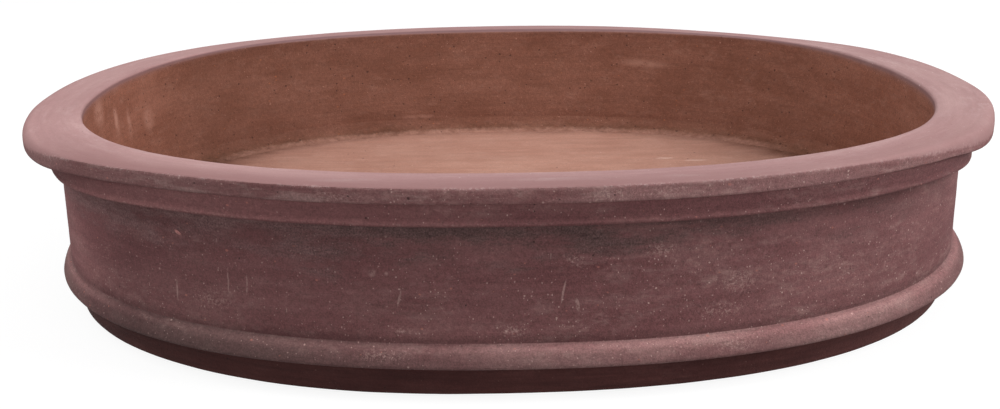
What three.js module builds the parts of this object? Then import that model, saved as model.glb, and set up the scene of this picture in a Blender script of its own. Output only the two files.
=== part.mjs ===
// An oval bonsai pot, slab-built from strips of clay that are luted together and fired.
// Millimetres, +Z up. The origin is on the ground at the middle of the oval, and the long axis lies along X.
// Each strip runs half way round the pot, so every level has a front and a back strip that butt at the two ends.
import * as THREE from 'three';

// Plan of the pot: the outermost line of the lip is a superellipse, where an exponent of 2 is a plain ellipse
const POT_LENGTH = 600;
const POT_WIDTH = 460;
const OVAL_EXPONENT = 2.28;

// Foot ring, which carries the wall and the edge of the base slab
const FOOT_HEIGHT = 17.5;
const FOOT_SETBACK = 4;
const FOOT_BEVEL = 1.5;
const SLAB_BEARING = 6.5;

// Base slab and its drain holes
const SLAB_THICKNESS = 15.5;
const DRAIN_DIAMETER = 42;
const DRAIN_SPACING = 260;

// Wall, a little thicker and wider at its foot than under the lip
const WALL_HEIGHT = 88.1;
const WALL_THICKNESS = 14.4;
const WALL_OUTSIDE_FLARE = 1.8;
const WALL_INSIDE_TAPER = 3;

// Lip, a flat strip on top of the wall with a rounded nose
const LIP_THICKNESS = 7.8;
const LIP_OVERHANG = 19.6;
const LIP_NOSE_REACH = 7.4;
const LIP_NOSE_DROP = 4.5;
const LIP_UNDER_ROUND = 2;
const LIP_INNER_ROUND = 2.5;

// Step moulding in the corner under the lip
const STEP_HEIGHT = 14.5;
const STEP_REACH = 11.4;
const STEP_COVE = 2.8;
const STEP_UNDERCUT = 4.6;

// Belt moulding round the foot of the wall
const BELT_HEIGHT = 11.8;
const BELT_REACH = 6.8;
const BELT_SHOULDER = 4.2;
const BELT_EDGE_HEIGHT = 2.8;
const BELT_EDGE_RETURN = 1.8;

// Coil of clay pressed into the corner between wall and floor
const CORNER_RADIUS = 12;

// The film of slip between two pieces, and the blunt edge where a moulding feathers out
const SLIP = 0.3;
const FEATHER = 0.8;

// Facets round half of the oval, on each curve of a section and round a drain hole
const STRIP_STEPS = 40;
const SECTION_STEPS = 4;
const DRAIN_STEPS = 24;

// Levels, from the ground up
const bodyBottom = FOOT_HEIGHT + SLIP;
const floorHeight = bodyBottom + SLAB_THICKNESS;
const wallTop = bodyBottom + WALL_HEIGHT;
const lipBottom = wallTop + SLIP;
const rimTop = lipBottom + LIP_THICKNESS;

// Insets, measured inwards from the outermost line of the lip
const rimWidth = LIP_OVERHANG + WALL_THICKNESS;

/** Inset of the wall's outer face at a height. */
function wallOutside(height) {
  return LIP_OVERHANG - WALL_OUTSIDE_FLARE * (wallTop - height) / WALL_HEIGHT;
}

/** Inset of the wall's inner face at a height. */
function wallInside(height) {
  return rimWidth + WALL_INSIDE_TAPER * (wallTop - height) / WALL_HEIGHT;
}

/** Half of the lip's outermost line, anticlockwise on the ground from one end of the pot to the other. */
class OvalHalf extends THREE.Curve {
  constructor(startAngle) {
    super();
    this.startAngle = startAngle;
  }

  getPoint(t, target = new THREE.Vector3()) {
    const angle = this.startAngle + Math.PI * t;
    const x = Math.sign(Math.cos(angle)) * Math.abs(Math.cos(angle)) ** (2 / OVAL_EXPONENT);
    const y = Math.sign(Math.sin(angle)) * Math.abs(Math.sin(angle)) ** (2 / OVAL_EXPONENT);
    return target.set(x * POT_LENGTH / 2, y * POT_WIDTH / 2, 0);
  }

  getTangent(t, target = new THREE.Vector3()) {
    const angle = this.startAngle + Math.PI * t;
    const power = 2 - 2 / OVAL_EXPONENT;
    const outX = Math.sign(Math.cos(angle)) * Math.abs(Math.cos(angle)) ** power / POT_LENGTH;
    const outY = Math.sign(Math.sin(angle)) * Math.abs(Math.sin(angle)) ** power / POT_WIDTH;
    return target.set(-outY, outX, 0).normalize();
  }
}

const HALVES = {
  front: new OvalHalf(Math.PI),
  back: new OvalHalf(0),
};

/** A strip's section, drawn in insets and heights. The sweep takes x as depth below its path and y as inset. */
class Section extends THREE.Shape {
  start(inset, height) {
    this.moveTo(-height, inset);
    return this;
  }

  line(inset, height) {
    this.lineTo(-height, inset);
    return this;
  }

  curve(cornerInset, cornerHeight, inset, height) {
    this.quadraticCurveTo(-cornerHeight, cornerInset, -height, inset);
    return this;
  }
}

/** The foot ring, with its outer lower edge bevelled. */
function footSection() {
  const outer = wallOutside(bodyBottom) + FOOT_SETBACK;
  const inner = wallInside(bodyBottom) + SLIP + SLAB_BEARING;
  return new Section()
    .start(outer, FOOT_HEIGHT)
    .line(outer, FOOT_BEVEL)
    .line(outer + FOOT_BEVEL, 0)
    .line(inner, 0)
    .line(inner, FOOT_HEIGHT);
}

/** The wall, standing on the foot ring and wrapped round the base slab. */
function wallSection() {
  return new Section()
    .start(wallOutside(wallTop), wallTop)
    .line(wallOutside(bodyBottom), bodyBottom)
    .line(wallInside(bodyBottom), bodyBottom)
    .line(wallInside(wallTop), wallTop);
}

/** The lip, flat on top, with a rounded nose and softened edges. */
function lipSection() {
  const noseDrop = Math.min(LIP_NOSE_DROP, LIP_THICKNESS - LIP_UNDER_ROUND);
  return new Section()
    .start(rimWidth, lipBottom)
    .line(rimWidth, rimTop - LIP_INNER_ROUND)
    .curve(rimWidth, rimTop, rimWidth - LIP_INNER_ROUND, rimTop)
    .line(LIP_NOSE_REACH, rimTop)
    .curve(0, rimTop, 0, rimTop - noseDrop)
    .line(0, lipBottom + LIP_UNDER_ROUND)
    .curve(0, lipBottom, LIP_UNDER_ROUND, lipBottom);
}

/** The step moulding: a cove under the lip, a flat band, and an underside that slants back to the wall. */
function stepSection() {
  const bottom = wallTop - STEP_HEIGHT;
  const band = LIP_OVERHANG - STEP_REACH;
  const backTop = wallOutside(wallTop) - SLIP;
  const backBottom = wallOutside(bottom) - SLIP;
  return new Section()
    .start(backTop, wallTop)
    .line(band + STEP_COVE, wallTop)
    .curve(band, wallTop - STEP_COVE, band, bottom + STEP_UNDERCUT)
    .line(backBottom - FEATHER, bottom)
    .line(backBottom, bottom);
}

/** The belt moulding: it swells out from the wall to a rounded belly over a sharp lower edge. */
function beltSection() {
  const top = bodyBottom + BELT_HEIGHT;
  const belly = wallOutside(bodyBottom) - BELT_REACH;
  const backTop = wallOutside(top) - SLIP;
  const backBottom = wallOutside(bodyBottom) - SLIP;
  return new Section()
    .start(backTop, top)
    .line(backTop - FEATHER, top)
    .curve(belly, top - BELT_SHOULDER, belly, bodyBottom + BELT_EDGE_HEIGHT)
    .curve(belly, bodyBottom, belly + BELT_EDGE_RETURN, bodyBottom)
    .line(backBottom, bodyBottom);
}

/** The corner coil, hollowed to a cove between the wall and the floor. */
function cornerSection() {
  const bottom = floorHeight + SLIP;
  const top = bottom + CORNER_RADIUS;
  const backBottom = wallInside(bottom) + SLIP;
  const backTop = wallInside(top) + SLIP;
  return new Section()
    .start(backBottom, bottom)
    .line(backBottom + CORNER_RADIUS, bottom)
    .line(backBottom + CORNER_RADIUS, bottom + FEATHER)
    .curve(backTop + FEATHER, bottom + FEATHER, backTop + FEATHER, top)
    .line(backTop, top);
}

/** Sweeps a section round one half of the pot. */
function stripGeometry(section, half) {
  return new THREE.ExtrudeGeometry(section, {
    steps: STRIP_STEPS,
    curveSegments: SECTION_STEPS,
    extrudePath: half,
  });
}

/** The base slab: an oval that fits inside the wall, pierced by two drain holes on the long axis. */
function slabGeometry() {
  const edge = wallInside(bodyBottom) + SLIP;
  const points = [];
  for (const half of Object.values(HALVES)) {
    for (let i = 0; i < STRIP_STEPS; i += 1) {
      const point = half.getPointAt(i / STRIP_STEPS);
      const along = half.getTangentAt(i / STRIP_STEPS);
      points.push(new THREE.Vector2(point.x - along.y * edge, point.y + along.x * edge));
    }
  }
  const shape = new THREE.Shape(points);
  for (const x of [-DRAIN_SPACING / 2, DRAIN_SPACING / 2]) {
    shape.holes.push(new THREE.Path().absarc(x, 0, DRAIN_DIAMETER / 2, 0, 2 * Math.PI));
  }
  return new THREE.ExtrudeGeometry(shape, {
    depth: SLAB_THICKNESS,
    bevelEnabled: false,
    curveSegments: DRAIN_STEPS,
  });
}

/** Unglazed clay in one of the pot's tones. */
function clay(color) {
  return new THREE.MeshStandardMaterial({ color, roughness: 0.92, metalness: 0 });
}

const STRIPS = [
  { name: 'foot_ring', section: footSection(), color: 0x45292a },
  { name: 'wall_strip', section: wallSection(), color: 0x70494b },
  { name: 'belt_moulding', section: beltSection(), color: 0x80595a },
  { name: 'corner_coil', section: cornerSection(), color: 0x9a664c },
  { name: 'step_moulding', section: stepSection(), color: 0x68403f },
  { name: 'rim_lip', section: lipSection(), color: 0xb38e8b },
];

const pot = new THREE.Group();

const baseSlab = new THREE.Mesh(slabGeometry(), clay(0xb98a70));
baseSlab.name = 'base_slab';
baseSlab.position.z = bodyBottom;
pot.add(baseSlab);

for (const { name, section, color } of STRIPS) {
  for (const [side, half] of Object.entries(HALVES)) {
    const strip = new THREE.Mesh(stripGeometry(section, half), clay(color));
    strip.name = `${name}_${side}`;
    pot.add(strip);
  }
}

export default pot;
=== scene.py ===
"""The looks of an oval bonsai pot of unglazed stoneware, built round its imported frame.

Metres, +Z up, with the front of the pot towards -Y. Each ring of the pot is drawn as a section of insets
and heights and is lofted all the way round the oval. An inset is measured inwards from the outermost line
of the lip.
"""

import enum
import itertools
import logging
import math
from dataclasses import dataclass, field, replace
from typing import ClassVar

import bpy
import numpy as np
from mathutils import Matrix, Vector
from numpy.typing import NDArray


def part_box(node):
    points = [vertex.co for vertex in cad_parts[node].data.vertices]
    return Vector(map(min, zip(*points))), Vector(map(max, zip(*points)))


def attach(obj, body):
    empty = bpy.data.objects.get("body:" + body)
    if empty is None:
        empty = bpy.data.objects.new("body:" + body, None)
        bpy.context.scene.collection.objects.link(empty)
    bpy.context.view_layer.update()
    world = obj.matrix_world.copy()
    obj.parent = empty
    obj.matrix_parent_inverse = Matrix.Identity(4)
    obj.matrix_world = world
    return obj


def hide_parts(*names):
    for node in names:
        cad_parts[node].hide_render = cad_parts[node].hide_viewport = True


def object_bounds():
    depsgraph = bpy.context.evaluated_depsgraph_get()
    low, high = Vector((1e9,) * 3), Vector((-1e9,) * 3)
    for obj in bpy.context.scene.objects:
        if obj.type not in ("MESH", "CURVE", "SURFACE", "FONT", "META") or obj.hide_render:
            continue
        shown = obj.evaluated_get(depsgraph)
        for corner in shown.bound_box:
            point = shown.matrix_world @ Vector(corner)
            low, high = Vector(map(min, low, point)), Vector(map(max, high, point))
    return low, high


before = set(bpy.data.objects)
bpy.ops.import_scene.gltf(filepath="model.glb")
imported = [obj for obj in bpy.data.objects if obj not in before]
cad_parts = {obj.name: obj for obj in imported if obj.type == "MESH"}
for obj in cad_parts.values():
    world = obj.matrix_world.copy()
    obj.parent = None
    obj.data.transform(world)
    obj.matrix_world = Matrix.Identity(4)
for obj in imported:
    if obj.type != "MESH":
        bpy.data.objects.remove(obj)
cad_low, cad_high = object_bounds()

MM = 0.001
LIP_OVERHANG = 19.6 * MM
WALL_THICKNESS = 14.4 * MM
WALL_TAPER = 3 * MM
LUTING = 0.3 * MM
FEATHER = 0.1 * MM
RIM_WIDTH = LIP_OVERHANG + WALL_THICKNESS
SLAB_INSET = RIM_WIDTH + WALL_TAPER + LUTING
ROOT = "root"

Array = NDArray[np.float64]
Span = tuple[float, float]
Tone = tuple[int, int, int]
Socket = bpy.types.NodeSocket
Feed = Socket | float | tuple[float, ...]

log = logging.getLogger("pot")


class MarkKind(enum.Enum):
    """How a mark was left: its soft share, and the spacing in millimetres and the share of its gaps."""

    SCRATCH = (0.5, 2.5, 0.32)
    DUSTING = (0.9, 1.6, 0.46)
    SMEAR = (0.95, 8.0, 0.32)


class Lay(enum.Enum):
    """Which way the wiping and burnishing marks of a surface run."""

    ALONG_STRIP = "along the strip, round the pot"
    ALONG_FLOOR = "along the pot, over the floor"


class ClayNoise:
    """Smooth random relief that is the same on every run."""

    TABLE = 256

    def __init__(self, seed: int) -> None:
        """Draws the slopes of the noise.

        Args:
            seed: Starts the draw, so that each noise differs from the others.
        """
        draw = np.random.default_rng(seed)
        self.order = draw.permutation(self.TABLE)
        slopes = draw.normal(size=(self.TABLE, 3))
        self.slopes = slopes / np.linalg.norm(slopes, axis=1, keepdims=True)

    def at(self, points: Array, size: float | Array) -> Array:
        """Gives the noise at some points.

        Args:
            points: Places, with x, y and z on the last axis.
            size: Length of one swell of the noise, the same all ways or one for each axis.

        Returns:
            One number for each point, about -0.7 to 0.7.
        """
        scaled = points / size
        cell = np.floor(scaled).astype(int)
        local = scaled - cell
        fade = local**3 * (local * (local * 6 - 15) + 10)
        total = np.zeros(points.shape[:-1])
        for corner in itertools.product((0, 1), repeat=3):
            key = np.zeros(points.shape[:-1], dtype=int)
            for axis in range(3):
                key = self.order[(key + cell[..., axis] + corner[axis]) % self.TABLE]
            lean = ((local - corner) * self.slopes[key]).sum(axis=-1)
            share = np.where(corner, fade, 1 - fade).prod(axis=-1)
            total += lean * share
        return total


@dataclass(frozen=True)
class PotPlan:
    """The pot seen from above: the outermost line of the lip is a superellipse."""

    half_length: float
    half_width: float
    exponent: float = 2.28

    PATH_STEPS: ClassVar[int] = 24000

    def stations(self, count: int) -> tuple[Array, Array]:
        """Spaces stations evenly round the lip's outermost line, anticlockwise from the right end.

        Args:
            count: How many stations.

        Returns:
            The points and the outward directions there, each as rows of x and y.
        """
        fine = np.linspace(0, 2 * math.pi, self.PATH_STEPS + 1)
        path = self._points(fine)
        length = np.concatenate(([0.0], np.hypot(*np.diff(path, axis=0).T).cumsum()))
        angles = np.interp(np.arange(count) / count * length[-1], length, fine)
        return self._points(angles), self._outward(angles)

    def ring(self, count: int, inset: float) -> Array:
        """Gives the points of a line that runs inside the lip's outermost line, an inset away from it."""
        points, outward = self.stations(count)
        return points - outward * inset

    def inset(self, node: str) -> float:
        """Gives how far a node's outermost line lies inside the lip's."""
        return self.half_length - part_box(node)[1].x

    def _points(self, angles: Array) -> Array:
        """Gives the points of the lip's outermost line at some angles."""
        turn = np.stack((np.cos(angles), np.sin(angles)), axis=1)
        return np.sign(turn) * np.abs(turn) ** (2 / self.exponent) * (self.half_length, self.half_width)

    def _outward(self, angles: Array) -> Array:
        """Gives the outward directions of the lip's outermost line at some angles.

        Args:
            angles: Angles of the superellipse.

        Returns:
            Rows of x and y, of length 1.
        """
        turn = np.stack((np.cos(angles), np.sin(angles)), axis=1)
        slope = np.sign(turn) * np.abs(turn) ** (2 - 2 / self.exponent) / (self.half_length, self.half_width)
        return slope / np.linalg.norm(slope, axis=1, keepdims=True)


class Section:
    """A closed outline of insets and heights: up the inside, outwards over the top and down the outside."""

    def __init__(self, inset: float, height: float, spacing: float) -> None:
        """Starts the outline.

        Args:
            inset: Inset of the first point.
            height: Height of the first point.
            spacing: Longest step along a straight stretch.
        """
        self.spots = [(inset, height)]
        self.coats = [0]
        self.notes: dict[str, int] = {}
        self.spacing = spacing

    def line(self, inset: float, height: float, coat: int = 0, steps: int = 0) -> "Section":
        """Draws a straight stretch.

        Args:
            inset: Inset of its end.
            height: Height of its end.
            coat: Which of the piece's materials its faces take.
            steps: How many steps it has, or 0 for as many as the spacing asks.

        Returns:
            The section itself.
        """
        start = np.array(self.spots[-1])
        end = np.array((inset, height))
        steps = steps or max(1, math.ceil(np.linalg.norm(end - start) / self.spacing))
        return self._add([start + (end - start) * k / steps for k in range(1, steps + 1)], coat)

    def curve(self, corner: tuple[float, float], end: tuple[float, float], steps: int = 6) -> "Section":
        """Draws a round stretch that leaves towards a corner and arrives from it.

        Args:
            corner: Inset and height that both ends of the curve point to.
            end: Inset and height of its end.
            steps: How many steps it has.

        Returns:
            The section itself.
        """
        start, middle, last = np.array(self.spots[-1]), np.array(corner), np.array(end)
        shares = np.arange(1, steps + 1) / steps
        return self._add([(1 - t) ** 2 * start + 2 * t * (1 - t) * middle + t**2 * last for t in shares], 0)

    def note(self, name: str) -> "Section":
        """Names the last point drawn, so that it can be found again."""
        self.notes[name] = len(self.spots) - 1
        return self

    def close(self) -> "Section":
        """Draws a straight stretch back to the first point.

        Returns:
            The section itself.
        """
        self.line(*self.spots[0])
        self.spots.pop()
        self.coats.append(self.coats.pop(0))
        self.coats.pop()
        return self

    def points(self) -> Array:
        """Gives the outline as rows of inset and height."""
        return np.array(self.spots)

    def order(self) -> Array:
        """Gives each point's number along the outline."""
        return np.arange(len(self.spots))

    def across(self) -> Array:
        """Gives the distance along the outline to each point, counted from the first point's height."""
        steps = np.linalg.norm(np.diff(self.points(), axis=0), axis=1)
        return self.spots[0][1] + np.concatenate(([0.0], steps.cumsum()))

    def _add(self, spots: list[Array], coat: int) -> "Section":
        """Adds points to the outline.

        Args:
            spots: Insets and heights.
            coat: Which of the piece's materials their faces take.

        Returns:
            The section itself.
        """
        self.spots += [(float(inset), float(height)) for inset, height in spots]
        self.coats += [coat] * len(spots)
        return self


def facing_out(outline: Array) -> Array:
    """Gives the directions out of the clay at the points of closed outlines, as insets and heights.

    Args:
        outline: Insets and heights, with the points of an outline on the last axis but one.

    Returns:
        A direction of length 1 for each point.
    """
    ahead = np.roll(outline, -1, axis=-2) - outline
    ahead = ahead / np.linalg.norm(ahead, axis=-1, keepdims=True)
    along = ahead + np.roll(ahead, 1, axis=-2)
    along = along / np.linalg.norm(along, axis=-1, keepdims=True)
    return np.stack((along[..., 1], -along[..., 0]), axis=-1)


def smooth(values: Array, low: float | Array, high: float) -> Array:
    """Gives 0 at low and 1 at high, with a smooth rise between, or a fall if low is the larger."""
    share = np.clip((values - low) / (high - low), 0, 1)
    return share * share * (3 - 2 * share)


def hump(values: Array, middle: float | Array, spread: float | Array) -> Array:
    """Gives 1 at a middle, and falls off smoothly to about 0 at twice the spread on both sides of it."""
    return np.exp(-(((values - middle) / spread) ** 2))


def at_ends(outward: Array, start: float) -> Array:
    """Gives 1 at the two ends of the pot and 0 along its sides up to a start, for each station."""
    return smooth(np.abs(outward[:, :1]), start, 1.0)


@dataclass
class PotterHand:
    """How far the shaping and firing leave each surface from true."""

    sway: float = 0.4 * MM
    sag: float = 0.3 * MM
    dent: float = 0.16 * MM
    ripple: float = 0.1 * MM
    tooth: float = 0.05 * MM
    left_droop: float = 3.5 * MM
    right_droop: float = 5.5 * MM
    left_tilt: float = 5.2 * MM
    right_tilt: float = 3.5 * MM
    back_left_tilt: float = 0.8 * MM
    back_right_tilt: float = 2.1 * MM
    back_lean: float = 10.5 * MM
    right_lean: float = 2.5 * MM
    slow: ClayNoise = field(default_factory=lambda: ClayNoise(11))
    fast: ClayNoise = field(default_factory=lambda: ClayNoise(29))

    SWAY_SIZE: ClassVar[float] = 190 * MM
    DENT_SIZE: ClassVar[float] = 26 * MM
    RIPPLE_LENGTH: ClassVar[float] = 130 * MM
    RIPPLE_WIDTH: ClassVar[float] = 5 * MM
    TOOTH_SIZE: ClassVar[float] = 3.5 * MM
    BITE_SIZE: ClassVar[float] = 8.5 * MM
    CRUMB_SIZE: ClassVar[float] = 3 * MM
    BITE_SHARE: ClassVar[float] = 0.7
    # From where to where each warp sets in: insets, heights, lengths, or parts of the outward direction.
    TILT_INSETS: ClassVar[Span] = (30 * MM, 6 * MM)
    TILT_FRONT: ClassVar[Span] = (0.0, 0.85)
    TILT_LEFT: ClassVar[Span] = (0.35, 0.95)
    TILT_RIGHT: ClassVar[Span] = (0.45, 1.0)
    TILT_BACK: ClassVar[Span] = (0.0, 0.5)
    TILT_BACK_STOP: ClassVar[Span] = (1.0, 0.6)
    LEAN_INSETS: ClassVar[Span] = (19 * MM, 33 * MM)
    LEAN_HEIGHTS: ClassVar[Span] = (30 * MM, 105 * MM)
    LEAN_BACK: ClassVar[Span] = (0.2, 0.95)
    LEAN_RIGHT: ClassVar[Span] = (0.7, 1.0)
    DROOP_LENGTHS: ClassVar[Span] = (225 * MM, 285 * MM)
    DROOP_HEIGHTS: ClassVar[Span] = (70 * MM, 95 * MM)
    DROOP_STOP: ClassVar[Span] = (113 * MM, 106 * MM)

    def surface(self, points: Array, across: Array) -> Array:
        """Gives the relief of a shaped surface, out of the clay.

        Args:
            points: Places on the surface.
            across: Distance of each place across its strip.

        Returns:
            One offset for each place.
        """
        dents = self.slow.at(points, self.DENT_SIZE) * self.dent
        lengthwise = np.dstack((points[..., 0], points[..., 1], np.broadcast_to(across, points.shape[:-1])))
        lengths = np.array((self.RIPPLE_LENGTH, self.RIPPLE_LENGTH, self.RIPPLE_WIDTH))
        ripples = self.fast.at(lengthwise, lengths) * self.ripple
        return dents + ripples + self.fast.at(points, self.TOOTH_SIZE) * self.tooth

    def chips(self, points: Array, depth: float) -> Array:
        """Gives the nicks and crumbs of a knocked edge, into the clay.

        Args:
            points: Places on the edge.
            depth: Depth of the deepest nick.

        Returns:
            One offset for each place, out of the clay and so never above 0.
        """
        bites = np.clip(self.fast.at(points, self.BITE_SIZE) * 2.2 - 0.25, 0, 1)
        crumbs = np.clip(self.slow.at(points, self.CRUMB_SIZE) * 1.6, 0, 1)
        return -depth * (self.BITE_SHARE * bites + (1 - self.BITE_SHARE) * crumbs)

    def tilt(self, outline: Array, outward: Array) -> Array:
        """Tilts the lip and the step down outwards towards the ends of the pot, most at the front left.

        Args:
            outline: Insets and heights, for each station and each point of a section.
            outward: Outward direction at each station.

        Returns:
            The tilted outline.
        """
        rightward = outward[:, :1]
        front = smooth(-outward[:, 1:], *self.TILT_FRONT)
        ahead = self.left_tilt * smooth(-rightward, *self.TILT_LEFT)
        ahead = ahead + self.right_tilt * smooth(rightward, *self.TILT_RIGHT)
        right_back = smooth(rightward, *self.TILT_BACK) * smooth(rightward, *self.TILT_BACK_STOP)
        behind = self.back_left_tilt * smooth(-rightward, *self.TILT_BACK)
        behind = behind + self.back_right_tilt * right_back
        outer = smooth(outline[..., 0], *self.TILT_INSETS)
        tilted = outline.copy()
        tilted[..., 1] -= (ahead * front + behind * (1 - front)) * outer
        return tilted

    def lean(self, outline: Array, outward: Array, start: float = LEAN_INSETS[0]) -> Array:
        """Leans the inside of the wall and the lip: outwards at the back, and inwards at the right end.

        Args:
            outline: Insets and heights, for each station and each point of a section.
            outward: Outward direction at each station.
            start: Inset outside which nothing leans.

        Returns:
            The leaning outline.
        """
        inside = np.clip((outline[..., 0] - start) / (self.LEAN_INSETS[1] - start), 0, 1)
        inside = inside * smooth(outline[..., 1], *self.LEAN_HEIGHTS)
        back = self.back_lean * smooth(outward[:, 1:], *self.LEAN_BACK)
        right = self.right_lean * smooth(outward[:, :1], *self.LEAN_RIGHT)
        leaning = outline.copy()
        leaning[..., 0] += inside * (right - back)
        return leaning

    def settle(self, points: Array) -> Array:
        """Gives the places after firing: the pot draws in and sags a little, most under the ends of the lip.

        Args:
            points: Places before firing.

        Returns:
            Places after firing.
        """
        level = np.clip(points[..., 2] / cad_high.z, 0, 1)
        drawn = (0.5 + 0.6 * self.slow.at(points, self.SWAY_SIZE)) * self.sway * level
        sunk = (0.5 + 0.6 * self.fast.at(points, self.SWAY_SIZE)) * self.sag * level
        ends = smooth(np.abs(points[..., 0]), *self.DROOP_LENGTHS)
        under = smooth(points[..., 2], *self.DROOP_HEIGHTS) * smooth(points[..., 2], *self.DROOP_STOP)
        droop = np.where(points[..., 0] < 0, self.left_droop, self.right_droop)
        sunk = np.clip(sunk, 0, None) + ends * under * droop
        moved = points.copy()
        moved[..., :2] *= (1 - np.clip(drawn, 0, None) / cad_high.x)[..., None]
        moved[..., 2] -= sunk
        return moved


@dataclass(frozen=True)
class Mottle:
    """How a patchy layer breaks up: the detail and roughness of its noise, and where it rises from 0 to 1."""

    detail: float
    rough: float
    low: float
    high: float


@dataclass(frozen=True)
class Scatter:
    """Small grains in the clay: how far apart, how large at most, and how each axis is squeezed."""

    spacing: float
    size: float
    squeeze: tuple[float, float, float] = (1.0, 1.0, 1.0)


class NodeBoard:
    """A material's nodes, laid one after the other."""

    SMALLEST_GRAIN: ClassVar[float] = 0.25
    GRAIN_CORE: ClassVar[float] = 0.55
    FAINT_SHARE: ClassVar[float] = 0.2

    def __init__(self, name: str) -> None:
        """Makes a material with no nodes.

        Args:
            name: The material's name.
        """
        self.material = bpy.data.materials.new(name)
        self.material.use_nodes = True
        self.tree = self.material.node_tree
        self.tree.nodes.clear()
        self.place = self.node("ShaderNodeTexCoord").outputs["Object"]

    def node(self, kind: str, **settings: object) -> bpy.types.Node:
        """Adds a node and sets its options.

        Args:
            kind: The node's type.
            settings: Its options, by their names.

        Returns:
            The node.
        """
        made = self.tree.nodes.new(kind)
        for name, value in settings.items():
            setattr(made, name, value)
        return made

    def feed(self, socket: Socket, value: Feed) -> None:
        """Links a value to a socket, or sets it there if it is a plain number or colour.

        Args:
            socket: The input that takes the value.
            value: A socket, a number or a colour.
        """
        if isinstance(value, bpy.types.NodeSocket):
            self.tree.links.new(value, socket)
        else:
            socket.default_value = value

    def math(self, operation: str, first: Feed, second: Feed, third: Feed = 0.0) -> Socket:
        """Works out a number from two or three others.

        Args:
            operation: What is worked out.
            first: The first number.
            second: The second number.
            third: The third number.

        Returns:
            The number's socket.
        """
        made = self.node("ShaderNodeMath", operation=operation)
        for socket, value in zip(made.inputs, (first, second, third)):
            self.feed(socket, value)
        return made.outputs[0]

    def times(self, *values: Feed) -> Socket:
        """Multiplies two or more numbers.

        Args:
            values: The numbers.

        Returns:
            The number's socket.
        """
        total = values[0]
        for value in values[1:]:
            total = self.math("MULTIPLY", total, value)
        return total

    def add(self, base: Feed, value: Feed, share: Feed) -> Socket:
        """Adds a share of a number to a base."""
        return self.math("MULTIPLY_ADD", value, share, base)

    def rise(self, value: Feed, low: float, high: float) -> Socket:
        """Gives 0 below low and 1 above high with a smooth rise between, or a fall if low is the larger.

        Args:
            value: The number.
            low: Where it gives 0.
            high: Where it gives 1.

        Returns:
            The number's socket.
        """
        made = self.node("ShaderNodeMapRange", interpolation_type="SMOOTHSTEP")
        for name, feed in (("Value", value), ("From Min", low), ("From Max", high)):
            self.feed(made.inputs[name], feed)
        return made.outputs[0]

    def axis(self, name: str) -> Socket:
        """Gives one axis of the place: X, Y or Z.

        Args:
            name: The axis.

        Returns:
            The number's socket.
        """
        made = self.node("ShaderNodeSeparateXYZ")
        self.feed(made.inputs[0], self.place)
        return made.outputs[name]

    def weight(self, name: str) -> Socket:
        """Gives a weight that the mesh carries at its points."""
        return self.node("ShaderNodeAttribute", attribute_name=name).outputs["Fac"]

    def scaled(self, vector: Socket, *shares: float) -> Socket:
        """Multiplies the three axes of a vector.

        Args:
            vector: The vector.
            shares: What each axis is multiplied by.

        Returns:
            The places' socket.
        """
        made = self.node("ShaderNodeVectorMath", operation="MULTIPLY")
        self.feed(made.inputs[0], vector)
        self.feed(made.inputs[1], shares)
        return made.outputs[0]

    def lay(self, way: Lay, stretch: float) -> Socket:
        """Gives places drawn out along the way that the marks run.

        Args:
            way: Which way the marks run.
            stretch: How many times longer than wide the marks are.

        Returns:
            The places, squeezed along the marks.
        """
        if way is Lay.ALONG_FLOOR:
            return self.scaled(self.place, 1 / stretch, 1.0, 1.0)
        flat = self.scaled(self.place, 1 / stretch, 1 / stretch, 0.0)
        split = self.node("ShaderNodeSeparateXYZ")
        self.feed(split.inputs[0], flat)
        joined = self.node("ShaderNodeCombineXYZ")
        self.feed(joined.inputs["X"], split.outputs["X"])
        self.feed(joined.inputs["Y"], split.outputs["Y"])
        self.feed(joined.inputs["Z"], self.weight("across"))
        return joined.outputs[0]

    def noise(self, vector: Socket, size: float, detail: float = 3.0, rough: float = 0.55) -> Socket:
        """Gives soft noise of about 0.2 to 0.8, with swells of a size.

        Args:
            vector: Places.
            size: Length of one swell.
            detail: How many finer layers it has.
            rough: How strong the finer layers are.

        Returns:
            The number's socket.
        """
        made = self.node("ShaderNodeTexNoise")
        self.feed(made.inputs["Vector"], vector)
        for name, value in (("Scale", 1 / size), ("Detail", detail), ("Roughness", rough)):
            self.feed(made.inputs[name], value)
        return made.outputs[0]

    def patchy(self, vector: Socket, size: float, mottle: Mottle) -> Socket:
        """Gives 1 on the patches of a layer and 0 between them, with swells of a size."""
        return self.rise(self.noise(vector, size, mottle.detail, mottle.rough), mottle.low, mottle.high)

    def ragged(self, vector: Socket, size: float, amount: float) -> Socket:
        """Shifts places about at random, so that what is drawn at them gets ragged edges.

        Args:
            vector: Places.
            size: Length of one swell of the shift.
            amount: How far places are shifted.

        Returns:
            The places' socket.
        """
        made = self.node("ShaderNodeTexNoise")
        self.feed(made.inputs["Vector"], vector)
        self.feed(made.inputs["Scale"], 1 / size)
        shift = self.node("ShaderNodeVectorMath", operation="MULTIPLY_ADD")
        self.feed(shift.inputs[0], made.outputs["Color"])
        self.feed(shift.inputs[1], (amount,) * 3)
        self.feed(shift.inputs[2], vector)
        return shift.outputs[0]

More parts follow.
